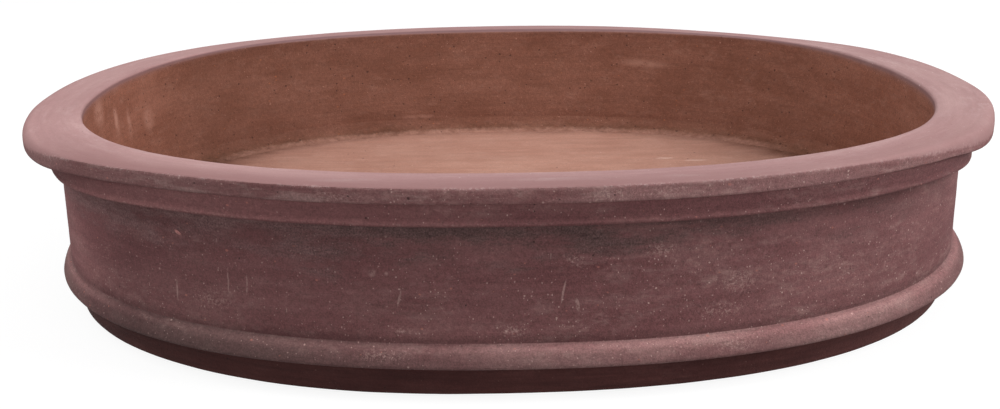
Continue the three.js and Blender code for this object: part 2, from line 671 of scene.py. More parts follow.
    def grains(self, vector: Socket, scatter: Scatter, share: float) -> Socket:
        """Scatters small grains.

        Args:
            vector: Places, ragged if the grains are.
            scatter: Spacing, size and squeeze of the grains.
            share: How many of the places that could hold a grain do.

        Returns:
            1 on a grain and 0 off it.
        """
        made = self.node("ShaderNodeTexVoronoi")
        self.feed(made.inputs["Vector"], self.scaled(vector, *scatter.squeeze))
        self.feed(made.inputs["Scale"], 1 / scatter.spacing)
        draw = self.node("ShaderNodeSeparateColor")
        self.feed(draw.inputs[0], made.outputs["Color"])
        held = self.rise(draw.outputs[0], 1 - share, 1 - share * (1 - self.FAINT_SHARE))
        largest = scatter.size / scatter.spacing
        smallest = self.SMALLEST_GRAIN * largest
        grown = self.add(smallest, draw.outputs[1], largest - smallest)
        inside = self.math("DIVIDE", made.outputs["Distance"], grown)
        return self.times(held, self.rise(inside, 1.0, self.GRAIN_CORE))

    def blend(self, factor: Feed, first: Feed, second: Feed) -> Socket:
        """Mixes two colours.

        Args:
            factor: Share of the second colour.
            first: The first colour.
            second: The second colour.

        Returns:
            The colour's socket.
        """
        made = self.node("ShaderNodeMix", data_type="RGBA")
        colors = [socket for socket in made.inputs if socket.type == "RGBA"]
        self.feed(made.inputs[0], factor)
        self.feed(colors[0], first)
        self.feed(colors[1], second)
        return next(socket for socket in made.outputs if socket.type == "RGBA")

    def pick(self, factor: Feed, first: Feed, second: Feed) -> Socket:
        """Mixes two numbers.

        Args:
            factor: Share of the second number.
            first: The first number.
            second: The second number.

        Returns:
            The number's socket.
        """
        made = self.node("ShaderNodeMix", data_type="FLOAT")
        for socket, value in zip(made.inputs[:1] + made.inputs[2:4], (factor, first, second)):
            self.feed(socket, value)
        return made.outputs[0]

    def swing(self, noise: Socket, amount: float) -> Socket:
        """Turns noise into a brightness about 1, which swings by an amount each way."""
        return self.add(1 - 2 * amount, noise, 4 * amount)

    def brighten(self, color: Feed, value: Feed) -> Socket:
        """Multiplies a colour's brightness.

        Args:
            color: The colour.
            value: What its brightness is multiplied by.

        Returns:
            The colour's socket.
        """
        made = self.node("ShaderNodeHueSaturation")
        self.feed(made.inputs["Color"], color)
        self.feed(made.inputs["Value"], value)
        return made.outputs[0]


def linear(tone: Tone) -> tuple[float, float, float, float]:
    """Gives a tone of 0 to 255 as the linear colour that a shader takes.

    Args:
        tone: Red, green and blue of 0 to 255.

    Returns:
        Red, green, blue and a full alpha.
    """
    shares = (level / 255 for level in tone)
    bright = [s / 12.92 if s <= 0.04045 else ((s + 0.055) / 1.055) ** 2.4 for s in shares]
    return (*bright, 1.0)


@dataclass(frozen=True)
class Mark:
    """A scratch or smear at one place of the pot, in millimetres, pale unless it has a tone of its own."""

    kind: MarkKind
    place: tuple[float, float, float]
    reach: tuple[float, float, float]
    lean: float = 0.0
    strength: float = 0.32
    tone: Tone | None = None

    RAGGED_SIZE: ClassVar[float] = 5 * MM
    RAGGED_SHIFT: ClassVar[float] = 1.2 * MM
    GAP_EDGE: ClassVar[float] = 0.2

    def mask(self, board: NodeBoard) -> Socket:
        """Gives the mark's strength on it, broken up along it, and 0 off it.

        Args:
            board: The material's nodes.

        Returns:
            The number's socket.
        """
        local = board.node("ShaderNodeMapping", vector_type="TEXTURE")
        ragged = board.ragged(board.place, self.RAGGED_SIZE, self.RAGGED_SHIFT)
        board.feed(local.inputs["Vector"], ragged)
        board.feed(local.inputs["Location"], tuple(length * MM for length in self.place))
        board.feed(local.inputs["Rotation"], (0.0, math.radians(self.lean), 0.0))
        board.feed(local.inputs["Scale"], tuple(length * MM for length in self.reach))
        away = board.node("ShaderNodeVectorMath", operation="LENGTH")
        board.feed(away.inputs[0], local.outputs[0])
        soft, spacing, broken = self.kind.value
        here = board.rise(away.outputs["Value"], 1.0, 1 - soft)
        gaps = Mottle(6.0, 0.75, broken, broken + self.GAP_EDGE)
        unbroken = board.patchy(board.place, spacing * MM, gaps)
        return board.times(here, unbroken, self.strength)


@dataclass(frozen=True)
class Coat:
    """A painted layer of clay: its colour, and its fine relief in millimetres."""

    color: Socket
    height: Socket


@dataclass(frozen=True)
class ClayFinish:
    """One tone of unglazed clay, with its mottling, burnishing, grit, pits and marks."""

    name: str
    deep: Tone
    clay: Tone
    dry: Tone
    grit: Tone = (196, 166, 158)
    ember: Tone = (196, 122, 100)
    pit: Tone = (50, 34, 34)
    patch_size: float = 34 * MM
    patch_stretch: float = 3.0
    dry_share: float = 0.4
    way: Lay = Lay.ALONG_STRIP
    stretch: float = 22.0
    streak_size: float = 2.6 * MM
    streak: float = 0.12
    grain: float = 0.14
    grit_share: float = 0.3
    ember_share: float = 0.12
    pit_share: float = 0.12
    pit_size: float = 0.75 * MM
    nick_share: float = 0.0
    dust: float = 0.3
    left_dust: float = 0.6
    # Brightness at the left and at the two ends: partly the clay's own tone, partly painted light and shade.
    left_tone_and_light: float = 1.0
    left_end: float = 1.0
    right_end: float = 1.0
    end_start: float = 0.68
    marks: tuple[Mark, ...] = ()

    GRAIN_SIZE: ClassVar[float] = 2.2 * MM
    TOOTH_SIZE: ClassVar[float] = 0.8 * MM
    RAGGED_SIZE: ClassVar[float] = 1.4 * MM
    RAGGED_SHIFT: ClassVar[float] = 0.8 * MM
    FLAKE_SHARE: ClassVar[float] = 0.3
    CLOUD_SIZE: ClassVar[float] = 26 * MM
    FILM_SIZE: ClassVar[float] = 4.5 * MM
    FILM_STRETCH: ClassVar[float] = 2.0
    PIT_SPACING: ClassVar[float] = 4.2 * MM
    COARSE_GRIT: ClassVar[Scatter] = Scatter(4.4 * MM, 0.75 * MM)
    FINE_GRIT: ClassVar[Scatter] = Scatter(1.7 * MM, 0.46 * MM, (1.0, 1.0, 0.7))
    NICKS: ClassVar[Scatter] = Scatter(7 * MM, 0.5 * MM, (1.0, 1.0, 0.2))
    EMBERS: ClassVar[Scatter] = Scatter(3.6 * MM, 0.8 * MM, (0.7, 1.0, 1.0))
    PATCHES: ClassVar[Mottle] = Mottle(6.0, 0.62, 0.36, 0.64)
    FLAKES: ClassVar[Mottle] = Mottle(6.0, 0.7, 0.5, 0.68)
    CLOUDS: ClassVar[Mottle] = Mottle(5.0, 0.62, 0.42, 0.64)
    FILM: ClassVar[Mottle] = Mottle(6.0, 0.75, 0.44, 0.7)
    CRUMBS: ClassVar[Mottle] = Mottle(5.0, 0.75, 0.47, 0.62)
    WORN_RUNS: ClassVar[Mottle] = Mottle(4.0, 0.55, 0.38, 0.62)
    GRAIN_RELIEF: ClassVar[float] = 0.6
    TOOTH_RELIEF: ClassVar[float] = 0.3
    STREAK_RELIEF: ClassVar[float] = 0.35
    GRIT_RELIEF: ClassVar[float] = 0.15
    PIT_DEPTH: ClassVar[float] = 0.5
    PIT_STRENGTH: ClassVar[float] = 0.7
    COARSE_STRENGTH: ClassVar[float] = 0.9
    FINE_STRENGTH: ClassVar[float] = 0.75
    NICK_STRENGTH: ClassVar[float] = 0.6
    EMBER_STRENGTH: ClassVar[float] = 0.5
    WEAR_STRENGTH: ClassVar[float] = 0.6
    LEFT_GRIT: ClassVar[float] = 0.45
    RIGHT_GRIT: ClassVar[float] = 0.75
    DUSTY_GRIT: ClassVar[float] = 0.35
    CRUMB_SIZE: ClassVar[float] = 1.8 * MM
    WEAR_LENGTH: ClassVar[float] = 20 * MM
    LEFT_TO_RIGHT: ClassVar[Span] = (-0.7 * cad_high.x, 0.3 * cad_high.x)
    END_RUN: ClassVar[float] = 0.18
    BUMP: ClassVar[float] = 0.8
    ROUGHNESS: ClassVar[float] = 0.84
    ROUGHNESS_SWING: ClassVar[float] = 0.14
    SPECULAR: ClassVar[float] = 0.22

    def paint(self, board: NodeBoard) -> Coat:
        """Lays the clay's colour and relief.

        Args:
            board: The material's nodes.

        Returns:
            The coat, for a shader or for another finish to go over.
        """
        drawn = board.lay(self.way, self.patch_stretch)
        ragged = board.ragged(board.place, self.RAGGED_SIZE, self.RAGGED_SHIFT)
        right = board.rise(board.axis("X"), *self.LEFT_TO_RIGHT)
        patches = board.patchy(drawn, self.patch_size, self.PATCHES)
        color = board.blend(patches, linear(self.deep), linear(self.clay))
        flakes = board.patchy(drawn, self.patch_size * self.FLAKE_SHARE, self.FLAKES)
        color = board.blend(board.times(flakes, self.dry_share), color, linear(self.dry))

        streak = board.noise(board.lay(self.way, self.stretch), self.streak_size, 5.0, 0.65)
        grain = board.noise(board.place, self.GRAIN_SIZE, 5.0, 0.72)
        tooth = board.noise(board.place, self.TOOTH_SIZE, 2.0, 0.6)
        value = board.times(board.swing(streak, self.streak), board.swing(grain, self.grain))
        value = board.times(value, board.swing(tooth, self.grain), self.tone(board, right))
        color = board.brighten(color, value)

        cloud = board.patchy(drawn, self.CLOUD_SIZE, self.CLOUDS)
        settled = board.times(cloud, board.pick(right, self.left_dust, 1.0))
        film = board.patchy(board.lay(self.way, self.FILM_STRETCH), self.FILM_SIZE, self.FILM)
        color = board.blend(board.times(film, settled, self.dust), color, linear(self.grit))

        height = board.add(board.times(tooth, self.TOOTH_RELIEF), grain, self.GRAIN_RELIEF)
        height = board.add(height, streak, self.STREAK_RELIEF)
        pits = board.grains(ragged, Scatter(self.PIT_SPACING, self.pit_size), self.pit_share)
        color = board.blend(board.times(pits, self.PIT_STRENGTH), color, linear(self.pit))
        height = board.add(height, pits, -self.PIT_DEPTH)
        coarse = board.grains(ragged, self.COARSE_GRIT, self.grit_share)
        fine = board.grains(ragged, self.FINE_GRIT, self.grit_share)
        coarse = board.times(coarse, self.COARSE_STRENGTH)
        fine = board.times(fine, self.FINE_STRENGTH)
        grit = board.math("MAXIMUM", coarse, fine)
        if self.nick_share:
            nicks = board.grains(ragged, self.NICKS, self.nick_share)
            grit = board.math("MAXIMUM", grit, board.times(nicks, self.NICK_STRENGTH))
        thick = board.add(board.pick(right, self.LEFT_GRIT, self.RIGHT_GRIT), settled, self.DUSTY_GRIT)
        color = board.blend(board.times(grit, thick), color, linear(self.grit))
        height = board.add(height, grit, self.GRIT_RELIEF)
        ember = board.grains(ragged, self.EMBERS, self.ember_share)
        color = board.blend(board.times(ember, self.EMBER_STRENGTH), color, linear(self.ember))
        for mark in self.marks:
            color = board.blend(mark.mask(board), color, linear(mark.tone or self.grit))
        return Coat(color, height)

    def tone(self, board: NodeBoard, right: Socket) -> Socket:
        """Gives the clay's brightness along the pot: partly the clay's own tone, partly painted light and
        shade where the lamps light one side or end of the pot more than the other.

        Args:
            board: The material's nodes.
            right: 0 at the left of the pot, and 1 from a little right of its middle on.

        Returns:
            The brightness, about 1.
        """
        value = board.pick(right, self.left_tone_and_light, 1.0)
        for side, bright in ((-cad_high.x, self.left_end), (cad_high.x, self.right_end)):
            if bright != 1.0:
                full = self.end_start + self.END_RUN
                end = board.rise(board.axis("X"), self.end_start * side, full * side)
                value = board.times(value, board.pick(end, 1.0, bright))
        return value

    def worn(self, board: NodeBoard, coat: Coat) -> Coat:
        """Lays pale crumbs along the edges that the mesh's wear weight names.

        Args:
            board: The material's nodes.
            coat: The coat that wears.

        Returns:
            The worn coat.
        """
        crumbs = board.patchy(board.place, self.CRUMB_SIZE, self.CRUMBS)
        runs = board.patchy(board.place, self.WEAR_LENGTH, self.WORN_RUNS)
        share = board.times(board.weight("wear"), crumbs, runs, self.WEAR_STRENGTH)
        return replace(coat, color=board.blend(share, coat.color, linear(self.grit)))

    def shade(self, board: NodeBoard, coat: Coat) -> bpy.types.Material:
        """Ends a material with a matte shader.

        Args:
            board: The material's nodes.
            coat: The clay's colour and relief.

        Returns:
            The material.
        """
        bump = board.node("ShaderNodeBump")
        board.feed(bump.inputs["Height"], coat.height)
        board.feed(bump.inputs["Distance"], MM)
        board.feed(bump.inputs["Strength"], self.BUMP)
        shader = board.node("ShaderNodeBsdfPrincipled")
        board.feed(shader.inputs["Base Color"], coat.color)
        grain = board.noise(board.place, self.GRAIN_SIZE, 2.0)
        rough = board.add(self.ROUGHNESS, grain, self.ROUGHNESS_SWING)
        board.feed(shader.inputs["Roughness"], rough)
        board.feed(shader.inputs["Specular IOR Level"], self.SPECULAR)
        board.feed(shader.inputs["Normal"], bump.outputs[0])
        out = board.node("ShaderNodeOutputMaterial")
        board.feed(out.inputs["Surface"], shader.outputs[0])
        return board.material

    def material(self) -> bpy.types.Material:
        """Makes the finish as a material of its own."""
        board = NodeBoard(self.name)
        return self.shade(board, self.worn(board, self.paint(board)))


SCRATCH, DUSTING, SMEAR = MarkKind
BODY = ClayFinish(
    name="body_clay",
    deep=(111, 71, 72),
    clay=(128, 87, 87),
    dry=(140, 103, 101),
    grit=(192, 160, 153),
    ember=(182, 116, 103),
    streak=0.12,
    grain=0.25,
    grit_share=0.65,
    ember_share=0.16,
    nick_share=0.4,
    dust=0.29,
    left_tone_and_light=0.79,
    left_end=1.5,
    marks=(
        Mark(SCRATCH, (-176, -176, 79), (2.6, 12, 1.2), 35, 0.9, (204, 140, 134)),
        Mark(SCRATCH, (-150, -187, 57), (0.6, 12, 9), 2),
        Mark(SCRATCH, (-140, -191, 56), (0.6, 12, 7), 6),
        Mark(SCRATCH, (-180, -174, 47), (0.6, 12, 8), 2),
        Mark(SCRATCH, (-62, -208, 54), (0.7, 12, 6), 12),
        Mark(SCRATCH, (19, -211, 57), (0.7, 12, 8), 10, 0.45),
        Mark(SCRATCH, (26, -211, 50), (1.4, 12, 4), -4, 0.5),
        Mark(SMEAR, (-75, -207, 67), (3, 12, 3), 0, 0.45),
        Mark(SMEAR, (-68, -208, 67), (1.6, 12, 1.6), 0, 0.35),
        Mark(DUSTING, (24, -211, 74), (9, 12, 5), 30, 0.6),
        Mark(DUSTING, (68, -208, 77), (14, 12, 6), 0, 0.55),
        Mark(DUSTING, (108, -201, 56), (14, 12, 9), 0, 0.6),
        Mark(DUSTING, (100, -203, 42), (20, 12, 6), 0, 0.5),
        Mark(DUSTING, (-6, -211, 37), (13, 12, 5), 10, 0.55),
        Mark(DUSTING, (-61, -208, 37), (7, 12, 3), 0, 0.6),
        Mark(DUSTING, (-160, -184, 46), (22, 12, 8), 0, 0.35),
    ),
)
MOULDED = replace(BODY, nick_share=0.0, left_end=1.0, marks=())
STEP = replace(
    MOULDED,
    name="step_clay",
    deep=(105, 67, 68),
    clay=(113, 75, 75),
    dry=(121, 84, 82),
    grit_share=0.3,
    dust=0.2,
    left_tone_and_light=1.13,
)
BELT = replace(
    MOULDED,
    name="belt_clay",
    deep=(127, 88, 88),
    clay=(145, 109, 107),
    dry=(156, 125, 121),
    grain=0.27,
    grit_share=0.5,
    dust=0.3,
    left_tone_and_light=0.36,
    left_end=1.9,
    right_end=0.82,
    marks=(
        Mark(DUSTING, (106, -205, 24), (18, 12, 4), 0, 0.6),
        Mark(DUSTING, (-70, -212, 25), (20, 12, 4), 0, 0.5),
    ),
)
FASCIA = replace(
    MOULDED,
    name="fascia_clay",
    deep=(123, 82, 82),
    clay=(144, 105, 104),
    dry=(162, 131, 127),
    patch_size=24 * MM,
    patch_stretch=4.0,
    dry_share=0.6,
    grain=0.22,
    pit_share=0.3,
    dust=0.5,
    left_dust=0.2,
    left_tone_and_light=0.8,
    marks=(
        Mark(DUSTING, (40, -219, 109), (18, 12, 5), 0, 0.7),
        Mark(DUSTING, (66, -217, 110), (16, 12, 4), 0, 0.6),
        Mark(DUSTING, (-90, -212, 109), (24, 12, 4), 0, 0.4),
    ),
)
CROWN = ClayFinish(
    name="rim_clay",
    deep=(178, 139, 138),
    clay=(189, 152, 150),
    dry=(201, 168, 166),
    grit=(224, 202, 199),
    pit=(130, 96, 94),
    streak=0.07,
    grain=0.06,
    grit_share=0.1,
    ember_share=0.02,
    pit_share=0.05,
    dust=0.2,
    left_tone_and_light=1.14,
    right_end=0.9,
    marks=(
        Mark(SMEAR, (-88, -204, 114), (26, 4, 8), 0, 0.4),
        Mark(SMEAR, (14, -208, 114), (30, 4, 8), 0, 0.3),
        Mark(SMEAR, (78, -206, 114), (16, 3, 8), 0, 0.3),
    ),
)
INSIDE = ClayFinish(
    name="inside_clay",
    deep=(126, 81, 65),
    clay=(137, 91, 75),
    dry=(147, 105, 90),
    grit=(190, 141, 124),
    ember=(180, 108, 74),
    pit=(76, 47, 41),
    patch_size=24 * MM,
    patch_stretch=2.0,
    streak=0.1,
    grain=0.21,
    grit_share=0.16,
    ember_share=0.22,
    pit_share=0.55,
    pit_size=1 * MM,
    dust=0.22,
    left_tone_and_light=0.88,
    left_end=1.55,
    right_end=1.27,
    end_start=0.75,
    marks=(
        Mark(SMEAR, (-264, 22, 89), (12, 5, 15), 0, 0.9),
        Mark(SMEAR, (-261, 41, 84), (12, 4, 14), 0, 0.6),
        Mark(SMEAR, (-255, 66, 79), (12, 10, 13), 0, 0.6),
        Mark(SMEAR, (-264, -8, 102), (12, 14, 13), 0, 0.9),
        Mark(SMEAR, (115, 190, 88), (38, 14, 5), 3, 0.5),
        Mark(SMEAR, (-69, 192, 46), (26, 12, 2.4), 0, 0.4),
    ),
)
FLOOR = replace(
    INSIDE,
    name="floor_clay",
    deep=(182, 133, 116),
    clay=(191, 143, 126),
    dry=(198, 153, 137),
    grit=(216, 180, 166),
    way=Lay.ALONG_FLOOR,
    stretch=12.0,
    streak_size=6 * MM,
    streak=0.1,
    grain=0.11,
    grit_share=0.06,
    ember_share=0.05,
    pit_share=0.05,
    left_tone_and_light=0.94,
    left_end=1.0,
    right_end=1.0,
    marks=(
        Mark(SCRATCH, (122, 99, 33), (9, 2, 8), 0, 0.9),
        Mark(SCRATCH, (144, 92, 33), (11, 2, 8), 0, 0.9),
    ),
)
CORNER = replace(
    INSIDE,
    name="corner_clay",
    deep=(110, 71, 55),
    clay=(136, 92, 75),
    grain=0.24,
    pit_share=0.9,
    pit_size=1.3 * MM,
    marks=(),
)
FOOT = ClayFinish(
    name="foot_clay",
    deep=(69, 38, 37),
    clay=(82, 48, 46),
    dry=(94, 59, 57),
    grit=(120, 86, 82),
    streak=0.3,
    grain=0.16,
    grit_share=0.06,
    ember_share=0.01,
    dust=0.2,
    left_tone_and_light=0.72,
)


@dataclass
class RingPart:
    """A ring of clay that runs all the way round the pot, in place of a front and a back strip."""

    plan: PotPlan
    hand: PotterHand

    NAME: ClassVar[str] = ""
    SLOT: ClassVar[str] = "body_clay"
    STATIONS: ClassVar[int] = 720
    SPACING: ClassVar[float] = 2 * MM
    TUCK: ClassVar[float] = 0.8 * MM

    def nodes(self) -> tuple[str, str]:
        """Gives the names of the strips that the ring stands for."""
        return f"{self.NAME}_front", f"{self.NAME}_back"

    def low(self) -> float:
        """Gives the height of the strips' underside."""
        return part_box(self.nodes()[0])[0].z

    def high(self) -> float:
        """Gives the height of the strips' top."""
        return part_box(self.nodes()[0])[1].z

    def outermost(self) -> float:
        """Gives the inset of the strips' outermost line."""
        return self.plan.inset(self.nodes()[0])

    def section(self) -> Section:
        """Draws the ring's section."""
        raise NotImplementedError

    def outline(self, section: Section, outward: Array) -> Array:
        """Gives the outline at each station, as the hand left it."""
        return self.hand.lean(np.repeat(section.points()[None], len(outward), axis=0), outward)

    def weights(self, section: Section, outward: Array) -> dict[str, Array]:
        """Gives the weights that the finish reads, for each point of the section."""
        return {"wear": np.zeros(len(section.spots))}

    def relief(self, points: Array, section: Section, outward: Array) -> Array:
        """Gives the offsets out of the clay, for each station and each point of the section."""
        return self.hand.surface(points, section.across())

    def materials(self) -> list[bpy.types.Material]:
        """Makes the ring's materials, in the order of the section's coats."""
        raise NotImplementedError

    def build(self) -> bpy.types.Object:
        """Lofts the ring, gives it its relief and its finish, and sets it in the frame.

        Returns:
            The finished piece.
        """
        section = self.section()
        points, outward = self.plan.stations(self.STATIONS)
        outline = self.outline(section, outward)
        normals = facing_out(outline)
        shape = outline.shape[:2]
        out = np.pad(outward, ((0, 0), (0, 1)))[:, None]
        up = np.array((0.0, 0.0, 1.0))
        spots = np.pad(points, ((0, 0), (0, 1)))[:, None] - out * outline[..., :1] + up * outline[..., 1:]
        facing = up * normals[..., 1:] - out * normals[..., :1]
        spots = self.hand.settle(spots + facing * self.relief(spots, section, outward)[..., None])

        station, spot = np.indices(shape)
        next_station, next_spot = (station + 1) % shape[0], (spot + 1) % shape[1]
        corners = ((station, spot), (station, next_spot), (next_station, next_spot), (next_station, spot))
        faces = np.stack([(row * shape[1] + column).ravel() for row, column in corners], axis=1)

        mesh = bpy.data.meshes.new(self.NAME)
        mesh.from_pydata(spots.reshape(-1, 3), [], faces, shade_flat=False)
        for material in self.materials():
            mesh.materials.append(material)
        mesh.polygons.foreach_set("material_index", np.tile(section.coats, shape[0]))
        for name, values in {"across": section.across(), **self.weights(section, outward)}.items():
            carry(mesh, name, np.broadcast_to(values, shape))
        return set_in_frame(mesh, self.NAME, self.SLOT, *self.nodes())


def placed(name: str, data: bpy.types.ID) -> bpy.types.Object:
    """Makes an object of some data and links it to the scene.

    Args:
        name: The object's name.
        data: Its mesh, light or camera.

    Returns:
        The object.
    """
    made = bpy.data.objects.new(name, data)
    bpy.context.scene.collection.objects.link(made)
    return made


def carry(mesh: bpy.types.Mesh, name: str, values: Array) -> None:
    """Has a mesh carry a number at each point, under a name that its material reads."""
    carried = mesh.attributes.new(name, "FLOAT", "POINT")
    carried.data.foreach_set("value", values.astype(np.float32).ravel())


def set_in_frame(mesh: bpy.types.Mesh, name: str, slot: str, *nodes: str) -> bpy.types.Object:
    """Makes a piece of a mesh and puts it in the frame in place of some nodes.

    Args:
        mesh: The finished mesh.
        name: The piece's name.
        slot: The record's material slot; not used.
        nodes: The nodes that the piece stands for.

    Returns:
        The piece.
    """
    mesh.validate()
    piece = placed(name, mesh)
    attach(piece, ROOT)
    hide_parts(*nodes)
    counts = (len(mesh.vertices), len(mesh.polygons))
    log.info("%s: %d points, %d faces, for %s", name, *counts, ", ".join(nodes))
    return piece


@dataclass
class FootRing(RingPart):
    """The dark ring that the pot stands on, set back under the belt moulding."""

    bearing: float = 6.5 * MM
    bevel: float = 1.5 * MM
    groove_height: float = 6.5 * MM
    groove_half: float = 0.8 * MM
    groove_depth: float = 0.35 * MM
    front_swell: float = 2.4 * MM
    swell_run: float = 10 * MM
    swell_middle: float = -0.15
    swell_spread: float = 0.28

    NAME: ClassVar[str] = "foot_ring"
    SLOT: ClassVar[str] = "foot_clay"

    def section(self) -> Section:
        """Draws the foot, with its outer lower edge softened.

        Returns:
            The section.
        """
        inner, outer = SLAB_INSET + self.bearing, self.outermost()
        top = self.high() + self.TUCK
        return (
            Section(inner, self.low(), self.SPACING)
            .line(inner, top)
            .line(outer, top)
            .line(outer, self.bevel)
            .curve((outer, self.low()), (outer + self.bevel, self.low()), 4)
            .close()
        )

    def outline(self, section: Section, outward: Array) -> Array:
        """Swells the foot's outer face at the front, about the middle.

        Args:
            section: The ring's section.
            outward: Outward direction at each station.

        Returns:
            Insets and heights, for each station and each point of the section.
        """
        outline = super().outline(section, outward)
        front = hump(outward[:, :1], self.swell_middle, self.swell_spread) * (outward[:, 1:] < 0)
        inner = SLAB_INSET + self.bearing
        outer = smooth(outline[..., 0], inner, inner - self.swell_run)
        outline[..., 0] -= self.front_swell * front * outer
        return outline

    def relief(self, points: Array, section: Section, outward: Array) -> Array:
        """Adds the line that a tool left round the foot, and keeps the standing face flat.

        Args:
            points: Places before the relief.
            section: The ring's section.
            outward: Outward direction at each station.

        Returns:
            Offsets out of the clay, for each station and each point of the section.
        """
        heights = section.points()[:, 1]
        groove = hump(heights, self.groove_height, self.groove_half)
        raised = super().relief(points, section, outward) - groove * self.groove_depth
        return np.where(heights <= self.low(), 0.0, raised)

    def materials(self) -> list[bpy.types.Material]:
        """Gives the dark foot clay."""
        return [FOOT.material()]


@dataclass
class Wall(RingPart):
    """The upright wall, purple-brown outside and warm brown inside."""

    overlap: float = 2 * MM
    crease_height: float = 6 * MM
    # The grey band under the step moulding: partly grey weathering, partly painted shade under the step.
    left_weathering_and_shade: Tone = (124, 98, 97)
    weathering_and_shade: Tone = (94, 74, 72)
    weathering_and_shade_edge: float = 12 * MM
    weathering_and_shade_reach: float = 100 * MM
    weathering_and_shade_heights: Span = (119 * MM, 144 * MM)
    weathering_and_shade_grain: float = 2 * MM
    weathering_and_shade_swing: float = 0.6
    weathering_and_shade_strengths: tuple[float, float, float] = (0.55, 0.85, 0.35)
    weathering_and_shade_middle: Span = (-0.55 * cad_high.x, -0.15 * cad_high.x)
    weathering_and_shade_right: Span = (0.1 * cad_high.x, 0.7 * cad_high.x)
    crease_shade: float = 0.7

    NAME: ClassVar[str] = "wall_strip"
    SPACING: ClassVar[float] = 2.2 * MM

    def section(self) -> Section:
        """Draws the wall, whose top runs on a little inside the lip.

        Returns:
            The section.
        """
        foot = self.outermost()
        rise = self.overlap / (self.high() - self.low())
        top = self.high() + self.overlap
        inside, outside = 1, 0
        return (
            Section(RIM_WIDTH + WALL_TAPER, self.low(), self.SPACING)
            .line(RIM_WIDTH - rise * WALL_TAPER, top, inside)
            .line(LIP_OVERHANG + self.TUCK, top, outside)
            .line(LIP_OVERHANG, self.high() - self.TUCK, outside)
            .line(foot, self.low(), outside)
            .close()
        )

    def weights(self, section: Section, outward: Array) -> dict[str, Array]:
        """Names the crease over the belt moulding, where shade is painted.

        Args:
            section: The ring's section.
            outward: Outward direction at each station.

        Returns:
            The values of each weight, by its name.
        """
        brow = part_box("belt_moulding_front")[1].z
        crease = smooth(section.points()[:, 1], brow + self.crease_height, brow)
        return {**super().weights(section, outward), "crease": crease}

    def materials(self) -> list[bpy.types.Material]:
        """Gives the outside clay, grey with weather and painted shade, and the inside clay."""
        return [self.weathered_and_shaded(), INSIDE.material()]

    def weathered_and_shaded(self) -> bpy.types.Material:
        """Makes the outside clay, greyed under the step moulding partly by weathering and partly by painted
        shade, with painted shade in the crease over the belt.

        Returns:
            The material.
        """
        board = NodeBoard(BODY.name)
        coat = BODY.paint(board)
        # Grey band under the step: partly weathering, partly painted shade cast by the step moulding.
        edge = board.noise(board.lay(Lay.ALONG_STRIP, 3.5), self.weathering_and_shade_edge, 7.0, 0.7)
        height = board.add(board.axis("Z"), edge, self.weathering_and_shade_reach)
        along = board.axis("X")
        middle, right = board.rise(along, *self.weathering_and_shade_middle), board.rise(along, *self.weathering_and_shade_right)
        at_left, at_middle, at_right = self.weathering_and_shade_strengths
        strength = board.pick(right, board.pick(middle, at_left, at_middle), at_right)
        share = board.times(board.rise(height, *self.weathering_and_shade_heights), strength)
        streaks = board.noise(board.lay(Lay.ALONG_STRIP, 4.0), self.weathering_and_shade_grain, 6.0, 0.78)
        grain = board.noise(board.place, BODY.TOOTH_SIZE, 2.0, 0.6)
        swings = [board.swing(noise, self.weathering_and_shade_swing) for noise in (streaks, grain)]
        grey = board.blend(middle, linear(self.left_weathering_and_shade), linear(self.weathering_and_shade))
        grey = board.brighten(grey, board.times(*swings))
        # Painted shade in the crease over the belt moulding.
        clay = board.brighten(coat.color, board.pick(board.weight("crease"), 1.0, self.crease_shade))
        return BODY.shade(board, replace(coat, color=board.blend(share, clay, grey)))


